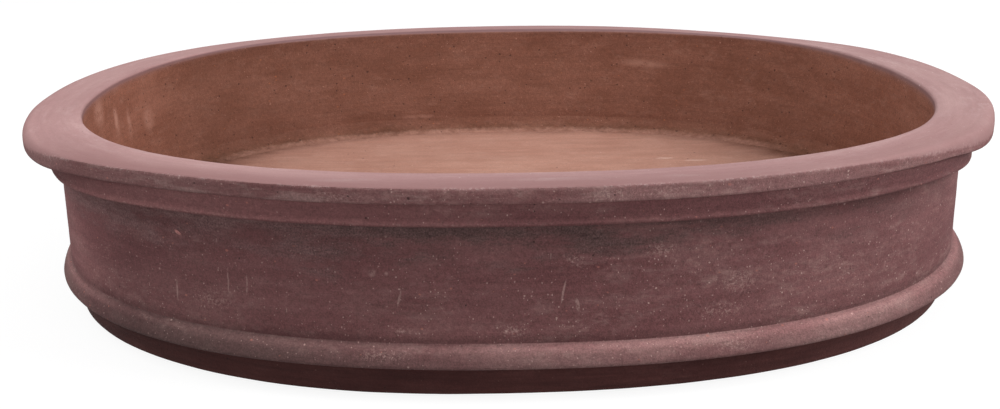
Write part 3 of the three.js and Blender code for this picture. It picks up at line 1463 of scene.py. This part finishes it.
@dataclass
class BeltMoulding(RingPart):
    """The moulding round the foot of the wall: it swells downwards to a sharp lower edge."""

    wall_inset: float = 18.1 * MM
    crease: float = 1.6 * MM
    fullness: float = 1.4 * MM
    edge_height: float = 1.9 * MM
    edge_return: float = 1.6 * MM
    underside: float = 24 * MM
    left_draw: float = 4 * MM
    left_span: Span = (0.3, 1.0)
    right_swell: float = 3 * MM
    right_span: Span = (0.5, 1.0)
    edge_wear: float = 0.3
    # A painted highlight on the brow, and painted shade on the clay below it.
    brow_highlight: float = 0.5
    lower_shade: float = 0.22

    NAME: ClassVar[str] = "belt_moulding"
    SPACING: ClassVar[float] = 1.4 * MM

    def section(self) -> Section:
        """Draws the belt, out of a crease at the wall and straight down to its belly.

        Returns:
            The section.
        """
        belly = self.outermost()
        low, high = self.low(), self.high()
        brow = (self.wall_inset - 1.2 * self.crease, high - self.crease)
        middle = (0.5 * (brow[0] + belly) - self.fullness, 0.5 * (brow[1] + low) + self.fullness)
        return (
            Section(self.underside, low, self.SPACING)
            .line(self.wall_inset + 2 * self.TUCK, high + self.TUCK)
            .line(self.wall_inset + FEATHER, high + 2 * FEATHER)
            .curve((self.wall_inset - 2 * FEATHER, high - 0.9 * self.crease), brow, 4)
            .note("brow")
            .curve(middle, (belly, low + self.edge_height), 12)
            .curve((belly, low), (belly + self.edge_return, low - FEATHER), 5)
            .note("edge")
            .close()
        )

    def outline(self, section: Section, outward: Array) -> Array:
        """Draws the belly in at the left end, and swells it at the right end.

        Args:
            section: The ring's section.
            outward: Outward direction at each station.

        Returns:
            Insets and heights, for each station and each point of the section.
        """
        outline = super().outline(section, outward)
        outer = np.clip((self.wall_inset - outline[..., 0]) / self.wall_inset, 0, 1)
        left = self.left_draw * smooth(-outward[:, :1], *self.left_span)
        right = self.right_swell * smooth(outward[:, :1], *self.right_span)
        outline[..., 0] += outer * (left - right)
        return outline

    def weights(self, section: Section, outward: Array) -> dict[str, Array]:
        """Wears the lower edge, and paints a highlight on the brow and shade on the clay below it.

        Args:
            section: The ring's section.
            outward: Outward direction at each station.

        Returns:
            The values of each weight, by its name.
        """
        index = section.order()
        brow = hump(index, section.notes["brow"] + 1, 3)
        edge = hump(index, section.notes["edge"] - 3, 2)
        lower = smooth(index, section.notes["brow"], section.notes["edge"])
        return {"wear": self.edge_wear * edge, "edge_rounding_and_belt_light": 1 + self.brow_highlight * brow - self.lower_shade * lower}

    def materials(self) -> list[bpy.types.Material]:
        """Gives the drier clay of the belt, with a painted highlight on its brow and painted shade below it.

        Returns:
            The ring's one material, in a list.
        """
        board = NodeBoard(BELT.name)
        coat = BELT.worn(board, BELT.paint(board))
        # The brow gets a painted highlight, and the clay below it painted shade.
        return [BELT.shade(board, replace(coat, color=board.brighten(coat.color, board.weight("edge_rounding_and_belt_light"))))]


@dataclass
class StepMoulding(RingPart):
    """The band under the lip, which leans in to a bead and is undercut back to the wall."""

    root_inset: float = LIP_OVERHANG - LUTING
    set_back: float = 1.1 * MM
    lean: float = 1.2 * MM
    arris_height: float = 3.2 * MM
    bead_reach: float = 1 * MM
    bead_height: float = 2.6 * MM
    undercut_reach: float = 1.2 * MM
    undercut_drop: float = 0.9 * MM
    end_set_back: float = 4 * MM
    end_start: float = 0.6
    chip_depth: float = 0.8 * MM
    bead_wear: float = 0.4

    NAME: ClassVar[str] = "step_moulding"
    STATIONS: ClassVar[int] = 1000
    SPACING: ClassVar[float] = 1.4 * MM

    def section(self) -> Section:
        """Draws the band and the bead.

        Returns:
            The section.
        """
        band = self.outermost() + self.set_back
        arris = self.low() + self.arris_height
        buried = self.root_inset + 2 * self.TUCK
        top = self.high() + 1.5 * self.TUCK
        foot = band + self.lean
        bead, swell = foot - self.bead_reach, self.bead_height
        undercut = (bead + self.undercut_reach, arris - self.undercut_drop)
        return (
            Section(buried, self.low() - self.TUCK, self.SPACING)
            .line(buried, top)
            .line(band, top)
            .line(foot, arris + swell)
            .curve((foot, arris + 0.6 * swell), (bead + 0.3 * self.bead_reach, arris + 0.4 * swell), 4)
            .curve((bead, arris + 0.3 * swell), (bead + FEATHER, arris), 3)
            .note("bead")
            .curve((bead + 2 * FEATHER, arris - 6 * FEATHER), undercut, 3)
            .close()
        )

    def outline(self, section: Section, outward: Array) -> Array:
        """Sets the band back at the ends of the pot.

        Args:
            section: The ring's section.
            outward: Outward direction at each station.

        Returns:
            Insets and heights, for each station and each point of the section.
        """
        outline = super().outline(section, outward)
        band = self.outermost() + self.set_back
        outer = np.clip((self.root_inset - outline[..., 0]) / (self.root_inset - band), 0, 1)
        outline[..., 0] += self.end_set_back * outer * at_ends(outward, self.end_start)
        return self.hand.tilt(outline, outward)

    def weights(self, section: Section, outward: Array) -> dict[str, Array]:
        """Wears the bead."""
        index = section.order()
        return {"wear": self.bead_wear * hump(index, section.notes["bead"] - 1, 2)}

    def relief(self, points: Array, section: Section, outward: Array) -> Array:
        """Crumbles the bead."""
        worn = self.weights(section, outward)["wear"]
        return super().relief(points, section, outward) + worn * self.hand.chips(points, self.chip_depth)

    def materials(self) -> list[bpy.types.Material]:
        """Gives the darker clay of the step."""
        return [STEP.material()]


@dataclass
class RimLip(RingPart):
    """The wide flat lip: crisp along its sides, round at its ends, and narrower at the front and the back."""

    crisp_edge: float = 3 * MM
    crisp_drop: float = 2 * MM
    round_edge: float = 6.5 * MM
    round_drop: float = 4.6 * MM
    under_round: float = 1.8 * MM
    inner_round: float = 2 * MM
    back_round: float = 9 * MM
    front_draw: float = 8.8 * MM
    left_draw_start: float = 0.28
    right_draw_start: float = 0.1
    full_draw: float = 0.95
    end_start: float = 0.65
    fascia_drop: float = 0.9 * MM
    inner_run: float = 9 * MM
    chip_depth: float = 1.2 * MM
    edge_wear: float = 0.6
    border_size: float = 3 * MM
    # Painted shade over the top of the lip: at the front, the back, the back of the left end and the round
    # nose at the ends.
    rim_shade: Tone = (147, 107, 106)
    inner_rim_shade: float = 0.3
    back_rim_shade: float = 0.5
    left_back_rim_shade: float = 0.42
    nose_rim_shade: float = 0.75
    # Painted shade along the inner edge of the lip, where it rounds into the inside.
    brink_shade: Tone = (98, 68, 70)

    NAME: ClassVar[str] = "rim_lip"
    SLOT: ClassVar[str] = "rim_clay"
    STATIONS: ClassVar[int] = 1000
    SPACING: ClassVar[float] = 1.6 * MM

    def section(self) -> Section:
        """Draws the lip as it is along the front."""
        return self.profile(self.crisp_edge, self.crisp_drop, self.inner_round)

    def profile(self, reach: float, drop: float, brink: float) -> Section:
        """Draws the lip, whose inside runs down onto the wall.

        Args:
            reach: How far the rounding of the outer edge reaches over the top.
            drop: How far it reaches down the fascia.
            brink: How far the rounding of the inner edge reaches over the top.

        Returns:
            The section, with the same number of points whatever the rounding.
        """
        low, high = self.low() - self.fascia_drop, self.high()
        proud = RIM_WIDTH + 0.5 * FEATHER
        return (
            Section(RIM_WIDTH - FEATHER, low - self.inner_run, self.SPACING)
            .line(proud, low + 2 * MM, steps=6)
            .line(proud, high - self.inner_round, steps=3)
            .note("brink")
            .curve((RIM_WIDTH, high), (RIM_WIDTH - brink, high), 6)
            .note("top")
            .line(reach, high, steps=18)
            .note("edge")
            .curve((0.0, high), (0.0, high - drop), 8)
            .note("nose")
            .line(0.0, low + self.under_round, steps=4)
            .curve((0.0, low), (self.under_round, low), 5)
            .note("under")
            .line(LIP_OVERHANG + 2 * self.TUCK, low, steps=8)
            .close()
        )

    def outline(self, section: Section, outward: Array) -> Array:
        """Rounds the outer edge at the ends and the inner one at the back, and draws the front in.

        Args:
            section: The ring's section.
            outward: Outward direction at each station.

        Returns:
            Insets and heights, for each station and each point of the section.
        """
        crisp = section.points()
        rounded = self.profile(self.round_edge, self.round_drop, self.inner_round).points()
        softened = self.profile(self.crisp_edge, self.crisp_drop, self.back_round).points()
        outline = crisp + (rounded - crisp) * self.edge_rounding_and_belt_light(outward)[..., None]
        outline = outline + (softened - crisp) * self.behind(outward)[..., None]
        start = np.where(outward[:, :1] < 0, self.left_draw_start, self.right_draw_start)
        draw = self.front_draw * smooth(-outward[:, 1:], start, self.full_draw)
        outline[..., 0] += draw * (1 - np.clip(outline[..., 0] / (RIM_WIDTH - self.inner_round), 0, 1))
        return self.hand.tilt(self.hand.lean(outline, outward, 0.0), outward)

    def edge_rounding_and_belt_light(self, outward: Array) -> Array:
        """Gives 1 where the outer edge is worn round: at the two ends, and on the right of the front."""
        right_front = smooth(outward[:, :1], 0.25, 0.75) * smooth(-outward[:, 1:], -0.2, 0.3)
        return np.maximum(at_ends(outward, self.end_start), right_front)

    def behind(self, outward: Array) -> Array:
        """Gives 1 along the back of the pot and 0 from its ends on, for each station."""
        return smooth(outward[:, 1:], 0.6, 0.98)

    def weights(self, section: Section, outward: Array) -> dict[str, Array]:
        """Names the worn edge, the smooth top, the shade painted over it, the inside face and the painted
        shade line over that.

        Args:
            section: The ring's section.
            outward: Outward direction at each station.

        Returns:
            The values of each weight, by its name.
        """
        index = section.order()
        ends, behind, notes = self.edge_rounding_and_belt_light(outward), self.behind(outward), section.notes
        crisp_stop = 0.5 * (notes["edge"] + notes["nose"])
        stop = crisp_stop + (notes["nose"] - crisp_stop) * ends
        brim = notes["brink"] - 0.4 + 1.8 * behind
        front = smooth(-outward[:, 1:], 0.2, 0.8) * (1 - 0.3 * smooth(outward[:, :1], 0.0, 0.5))
        left_back = smooth(-outward[:, :1], 0.3, 0.7) * smooth(outward[:, 1:], -0.5, -0.15)
        nose = at_ends(outward, self.end_start) * smooth(index, notes["edge"] - 1, notes["nose"])
        outer = smooth(index, notes["top"], notes["edge"])
        # Painted shade over the top: darker towards the outer edge at the front, and at the back, the back of
        # the left end and the round nose at the ends.
        rim_shade = front * (self.inner_rim_shade + (1 - self.inner_rim_shade) * outer) + self.back_rim_shade * behind
        rim_shade = rim_shade + self.left_back_rim_shade * left_back + self.nose_rim_shade * nose
        return {
            "wear": self.edge_wear * hump(index, stop, 2) * (1 - 0.8 * ends),
            "crown": np.clip((stop - index) / (3 + 3 * ends) + 0.5, 0, 1),
            "rim_shade": np.clip(rim_shade, 0, 1),
            "inner": np.clip((brim - index) / 1.6 + 0.5, 0, 1),
            # The painted shade line along the inner edge.
            "line": hump(index, brim + 0.8 + 1.2 * behind, 1.1 + 1.5 * behind),
        }

    def relief(self, points: Array, section: Section, outward: Array) -> Array:
        """Knocks nicks out of the outer edge, and keeps the top and the fascia within their size.

        Args:
            points: Places before the relief.
            section: The ring's section.
            outward: Outward direction at each station.

        Returns:
            Offsets out of the clay, for each station and each point of the section.
        """
        raised = super().relief(points, section, outward)
        raised = raised + self.weights(section, outward)["wear"] * self.hand.chips(points, self.chip_depth)
        index = section.order()
        outer = (index >= section.notes["top"]) & (index <= section.notes["under"])
        return np.where(outer, np.minimum(raised, 0.0), raised)

    def materials(self) -> list[bpy.types.Material]:
        """Makes the lip's clay: smooth on top with painted shade over it and a painted shade line along the
        inner edge, weather-greyed on the fascia and warm on the inside face.

        Returns:
            The ring's one material, in a list.
        """
        board = NodeBoard(CROWN.name)
        crown, fascia, inside = CROWN.paint(board), FASCIA.paint(board), INSIDE.paint(board)
        ragged = board.noise(board.place, self.border_size, 5.0, 0.7)
        border = board.add(board.weight("crown"), ragged, 0.8)
        top = board.rise(border, 0.65, 1.1)
        # Painted shade over the top of the lip.
        rim_shade = board.times(board.weight("rim_shade"), 0.8)
        shaded_crown = board.blend(rim_shade, crown.color, linear(self.rim_shade))
        color = board.blend(top, fascia.color, shaded_crown)
        height = board.pick(top, fascia.height, board.times(crown.height, 0.4))
        inner = board.weight("inner")
        color = board.blend(inner, color, inside.color)
        # A painted shade line along the inner edge of the lip.
        color = board.blend(board.times(board.weight("line"), 0.65), color, linear(self.brink_shade))
        coat = Coat(color, board.pick(inner, height, inside.height))
        return [CROWN.shade(board, CROWN.worn(board, coat))]


@dataclass
class CornerCoil(RingPart):
    """The coil of clay pressed into the corner of wall and floor, as a soft cove."""

    wall_inset: float = 36.4 * MM
    radius: float = 13 * MM
    buried: float = 1.2 * MM
    top_feather: float = 0.6 * MM
    crumb_size: float = 7 * MM

    NAME: ClassVar[str] = "corner_coil"
    SLOT: ClassVar[str] = "inside_clay"

    def section(self) -> Section:
        """Draws the cove, whose feathered edges are pressed into the wall and the floor.

        Returns:
            The section.
        """
        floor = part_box("base_slab")[1].z
        toe = self.wall_inset + self.radius
        return (
            Section(toe, floor - FEATHER, self.SPACING)
            .curve((self.wall_inset, floor), (self.wall_inset - self.top_feather, floor + self.radius), 12)
            .line(self.wall_inset - self.buried, floor + self.radius)
            .line(self.wall_inset - self.buried, floor - self.buried)
            .line(toe, floor - self.buried)
            .close()
        )

    def weights(self, section: Section, outward: Array) -> dict[str, Array]:
        """Names the toe of the cove, where crumbs were left, and how far it was wiped: least at the ends.

        Args:
            section: The ring's section.
            outward: Outward direction at each station.

        Returns:
            The values of each weight, by its name.
        """
        away = section.points()[:, 1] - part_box("base_slab")[1].z
        toe = smooth(away, 0.7 * self.radius, 0.0)
        return {"toe": toe, "wiped": toe * smooth(np.abs(outward[:, 1:]), 0.2, 0.8)}

    def materials(self) -> list[bpy.types.Material]:
        """Makes the corner's clay: the wall's above, crumbly below, and wiped like the floor at the toe.

        Returns:
            The ring's one material, in a list.
        """
        board = NodeBoard(CORNER.name)
        wall, crumbs, floor = INSIDE.paint(board), CORNER.paint(board), FLOOR.paint(board)
        ragged = board.noise(board.place, self.crumb_size, 6.0, 0.7)
        share = board.rise(board.add(board.weight("toe"), ragged, 2.4), 1.5, 2.1)
        wiped = board.rise(board.add(board.weight("wiped"), ragged, 0.6), 1.06, 1.5)
        color = board.blend(share, wall.color, crumbs.color)
        color = board.blend(wiped, color, floor.color)
        return [CORNER.shade(board, Coat(color, board.pick(share, wall.height, crumbs.height)))]


@dataclass
class BaseSlab:
    """The floor of the pot, wiped smooth, with two drain holes."""

    plan: PotPlan
    hand: PotterHand
    edge_inset: float = SLAB_INSET
    drain_radius: float = 21 * MM
    drain_spacing: float = 260 * MM
    drain_flare: float = 2.5 * MM
    dish: float = 0.8 * MM
    end_shade: float = 0.07
    wipe_size: float = 18 * MM
    crease_angle: float = math.radians(35)

    NODE: ClassVar[str] = "base_slab"
    NAME: ClassVar[str] = "floor_slab"
    SLOT: ClassVar[str] = "inside_clay"
    STATIONS: ClassVar[int] = 360
    RINGS: ClassVar[int] = 44
    DRAIN_STEPS: ClassVar[int] = 64
    FLARE_STEPS: ClassVar[int] = 5

    def build(self) -> bpy.types.Object:
        """Makes the slab, pierces it and sets it in the frame.

        Returns:
            The finished piece.
        """
        low, high = (corner.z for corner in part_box(self.NODE))
        mesh = self.pierced(low, high)
        mesh.materials.append(self.wiped())
        self.mark_brink(mesh)
        mesh.set_sharp_from_angle(angle=self.crease_angle)
        return set_in_frame(mesh, self.NAME, self.SLOT, self.NODE)

    def disc(self, low: float, high: float) -> tuple[Array, list, list[tuple[int, ...]]]:
        """Lays the slab out as rings of points, on its floor and on its underside.

        Args:
            low: Height of the underside.
            high: Height of the floor.

        Returns:
            The points, no edges, and the faces.
        """
        edge = self.plan.ring(self.STATIONS, self.edge_inset)
        shares = np.arange(self.RINGS, 0, -1) / self.RINGS
        flat = np.concatenate(((shares[:, None, None] * edge).reshape(-1, 2), np.zeros((1, 2))))
        floor = np.column_stack((flat, np.full(len(flat), high)))
        spread = np.append(np.repeat(shares, self.STATIONS), 0.0)
        floor[:, 2] += self.hand.surface(floor[None], floor[None, :, 1])[0] - self.dish * (1 - spread**2)
        under = np.column_stack((flat, np.full(len(flat), low)))
        points = np.concatenate((floor, under))

        faces: list[tuple[int, ...]] = []
        count, start, centre = self.STATIONS, len(flat), len(flat) - 1
        for station in range(count):
            after = (station + 1) % count
            for ring in range(self.RINGS - 1):
                a, b = ring * count + station, ring * count + after
                faces.append((a, b, b + count, a + count))
                faces.append((start + a, start + a + count, start + b + count, start + b))
            last = (self.RINGS - 1) * count
            faces.append((last + station, last + after, centre))
            faces.append((start + last + after, start + last + station, start + centre))
            faces.append((after, station, start + station, start + after))
        return points, [], faces

    def mark_brink(self, mesh: bpy.types.Mesh) -> None:
        """Carries, at each point, how near it is to the slab's edge: about 1 there and 0 at the middle.

        Args:
            mesh: The slab's mesh, which is changed.
        """
        spots = np.empty(len(mesh.vertices) * 3, dtype=np.float32)
        mesh.vertices.foreach_get("co", spots)
        half = np.array((self.plan.half_length, self.plan.half_width)) - self.edge_inset
        shares = np.abs(spots.reshape(-1, 3)[:, :2] / half)
        near = (shares**self.plan.exponent).sum(axis=1) ** (1 / self.plan.exponent)
        near = near + self.end_shade * smooth(shares[:, 0], 0.6, 0.9)
        carry(mesh, "brink", near)

    def wiped(self) -> bpy.types.Material:
        """Makes the floor's clay, wiped pale in the middle and left dark along the corner.

        Returns:
            The material.
        """
        board = NodeBoard(FLOOR.name)
        floor, corner = FLOOR.paint(board), CORNER.paint(board)
        ragged = board.noise(board.lay(Lay.ALONG_FLOOR, 3.0), self.wipe_size, 6.0, 0.62)
        brink = board.add(board.weight("brink"), ragged, 0.16)
        share = board.rise(brink, 0.96, 1.12)
        color = board.blend(share, floor.color, corner.color)
        return FLOOR.shade(board, Coat(color, board.pick(share, floor.height, corner.height)))

    def pierced(self, low: float, high: float) -> bpy.types.Mesh:
        """Makes the slab's mesh and cuts the drain holes, with rounded mouths.

        Args:
            low: Height of the underside.
            high: Height of the floor.

        Returns:
            The mesh, with no material yet.
        """
        blank = bpy.data.meshes.new("slab_blank")
        blank.from_pydata(*self.disc(low, high), shade_flat=False)
        slab = placed("slab_blank", blank)
        plugs = [self.plug(low, high, side * self.drain_spacing / 2) for side in (-1, 1)]
        for plug in plugs:
            cut = slab.modifiers.new("drain", "BOOLEAN")
            cut.operation, cut.solver, cut.object = "DIFFERENCE", "EXACT", plug
        bpy.context.view_layer.update()
        finished = slab.evaluated_get(bpy.context.evaluated_depsgraph_get())
        mesh = bpy.data.meshes.new_from_object(finished)
        mesh.name = self.NAME
        mesh.materials.clear()
        for spare in (slab, *plugs):
            bpy.data.objects.remove(spare)
        return mesh

    def plug(self, low: float, high: float, along: float) -> bpy.types.Object:
        """Turns the plug of clay that a drain hole takes out of the slab.

        Args:
            low: Height of the slab's underside.
            high: Height of the floor.
            along: Place of the hole along the pot.

        Returns:
            The plug, waisted at the middle of the slab.
        """
        flare = self.drain_flare
        turns = np.linspace(0, math.pi / 2, self.FLARE_STEPS + 1)
        steps = [(1 - math.cos(turn), math.sin(turn)) for turn in turns]
        wide = self.drain_radius + 2 * flare
        rows = [(wide, low - flare), *((wide - flare - flare * s, low + flare * c) for c, s in steps)]
        rows += [(wide - flare - flare * s, high - flare * c) for c, s in reversed(steps)]
        rows += [(wide, high + flare)]
        angles = np.arange(self.DRAIN_STEPS) / self.DRAIN_STEPS * 2 * math.pi
        count = self.DRAIN_STEPS
        points = [(along + r * math.cos(a), r * math.sin(a), z) for r, z in rows for a in angles]
        faces = [tuple(reversed(range(count))), tuple((len(rows) - 1) * count + k for k in range(count))]
        for row, k in itertools.product(range(len(rows) - 1), range(count)):
            a, b = row * count + k, row * count + (k + 1) % count
            faces.append((a, b, b + count, a + count))
        mesh = bpy.data.meshes.new("drain_plug")
        mesh.from_pydata(points, [], faces)
        return placed("drain_plug", mesh)


@dataclass(frozen=True)
class Lamp:
    """A large soft lamp, aimed at the pot."""

    name: str
    place: tuple[float, float, float]
    power: float
    size: float

    def hang(self) -> None:
        """Hangs the lamp in its place."""
        light = bpy.data.lights.new(self.name, "AREA")
        light.shape, light.size, light.energy = "DISK", self.size, self.power
        lamp = placed(self.name, light)
        lamp.location = self.place
        lamp.rotation_euler = (-Vector(self.place)).to_track_quat("-Z", "Y").to_euler()


@dataclass
class Studio:
    """A pale floor, soft light from the right with some from the left and the front, and the camera."""

    floor_size: float = 9.0
    camera_place: tuple[float, float, float] = (-24.6 * MM, -719.8 * MM, 273.7 * MM)
    heading: float = math.radians(1.375)
    pitch: float = math.radians(18.615)
    roll: float = math.radians(0.642)
    lens: float = 40.385
    sensor: float = 36.0
    near_limit: float = 10 * MM
    sky: float = 0.42
    floor_tone: float = 0.22
    floor_glow: float = 0.85
    stray_tone: tuple[float, float, float] = (0.25, 0.24, 0.24)
    lamps: tuple[Lamp, ...] = (
        Lamp("key", (1.7, -0.35, 1.15), 28.0, 1.2),
        Lamp("fill", (-1.4, -0.2, 1.5), 15.0, 1.2),
        Lamp("front", (-0.1, -2.4, 0.45), 13.0, 1.5),
    )

    def build(self) -> None:
        """Sets up the floor, the light, the camera and the view."""
        self.floor()
        self.world()
        for lamp in self.lamps:
            lamp.hang()
        self.camera()
        bpy.context.scene.view_settings.view_transform = "Standard"

    def seen(self, tree: bpy.types.NodeTree) -> Socket:
        """Gives 1 for a ray from the camera, a reflection or a glass, and 0 for stray light.

        Args:
            tree: The nodes of the floor or the sky.

        Returns:
            The number's socket.
        """
        path = tree.nodes.new("ShaderNodeLightPath")
        total = path.outputs["Is Camera Ray"]
        for name in ("Is Glossy Ray", "Is Transmission Ray"):
            larger = tree.nodes.new("ShaderNodeMath")
            larger.operation = "MAXIMUM"
            tree.links.new(total, larger.inputs[0])
            tree.links.new(path.outputs[name], larger.inputs[1])
            total = larger.outputs[0]
        return total

    def floor(self) -> None:
        """Lays the floor: white to the camera apart from the pot's shadow, and dull to stray light."""
        half = self.floor_size / 2
        mesh = bpy.data.meshes.new("studio_floor")
        corners = [(-half, -half, 0.0), (half, -half, 0.0), (half, half, 0.0), (-half, half, 0.0)]
        mesh.from_pydata(corners, [], [(0, 1, 2, 3)])
        board = NodeBoard("studio_floor")
        white = board.node("ShaderNodeBsdfDiffuse")
        board.feed(white.inputs["Color"], (*(self.floor_tone,) * 3, 1.0))
        glow = board.node("ShaderNodeEmission")
        board.feed(glow.inputs["Strength"], self.floor_glow)
        both = board.node("ShaderNodeAddShader")
        board.feed(both.inputs[0], white.outputs[0])
        board.feed(both.inputs[1], glow.outputs[0])
        dull = board.node("ShaderNodeBsdfDiffuse")
        board.feed(dull.inputs["Color"], (*self.stray_tone, 1.0))
        mix = board.node("ShaderNodeMixShader")
        board.feed(mix.inputs[0], self.seen(board.tree))
        board.feed(mix.inputs[1], dull.outputs[0])
        board.feed(mix.inputs[2], both.outputs[0])
        out = board.node("ShaderNodeOutputMaterial")
        board.feed(out.inputs["Surface"], mix.outputs[0])
        mesh.materials.append(board.material)
        floor = placed("studio_floor", mesh)

    def world(self) -> None:
        """Sets an even sky: white to the camera, and softer on the pot."""
        world = bpy.data.worlds.new("studio_sky")
        world.use_nodes = True
        tree = world.node_tree
        background = tree.nodes["Background"]
        background.inputs["Color"].default_value = (1.0, 1.0, 1.0, 1.0)
        strength = tree.nodes.new("ShaderNodeMapRange")
        tree.links.new(self.seen(tree), strength.inputs["Value"])
        strength.inputs["To Min"].default_value = self.sky
        strength.inputs["To Max"].default_value = 1.0
        tree.links.new(strength.outputs[0], background.inputs["Strength"])
        bpy.context.scene.world = world

    def camera(self) -> None:
        """Sets the camera where the pot is seen a little from above, from its front."""
        lens = bpy.data.cameras.new("camera")
        lens.lens, lens.sensor_width, lens.clip_start = self.lens, self.sensor, self.near_limit
        camera = placed("camera", lens)
        turn = Matrix.Rotation(-self.heading, 4, "Z") @ Matrix.Rotation(math.pi / 2 - self.pitch, 4, "X")
        turn = turn @ Matrix.Rotation(-self.roll, 4, "Z")
        camera.matrix_world = Matrix.Translation(self.camera_place) @ turn
        bpy.context.scene.camera = camera


def main() -> None:
    """Builds the pot from the ground up, and then the studio round it."""
    logging.basicConfig(level=logging.INFO, format="%(name)s: %(message)s")
    plan = PotPlan(cad_high.x, cad_high.y)
    hand = PotterHand()
    for part in (FootRing, Wall, BeltMoulding, StepMoulding, RimLip, CornerCoil, BaseSlab):
        part(plan, hand).build()
    Studio().build()


if __name__ == "__main__":
    main()
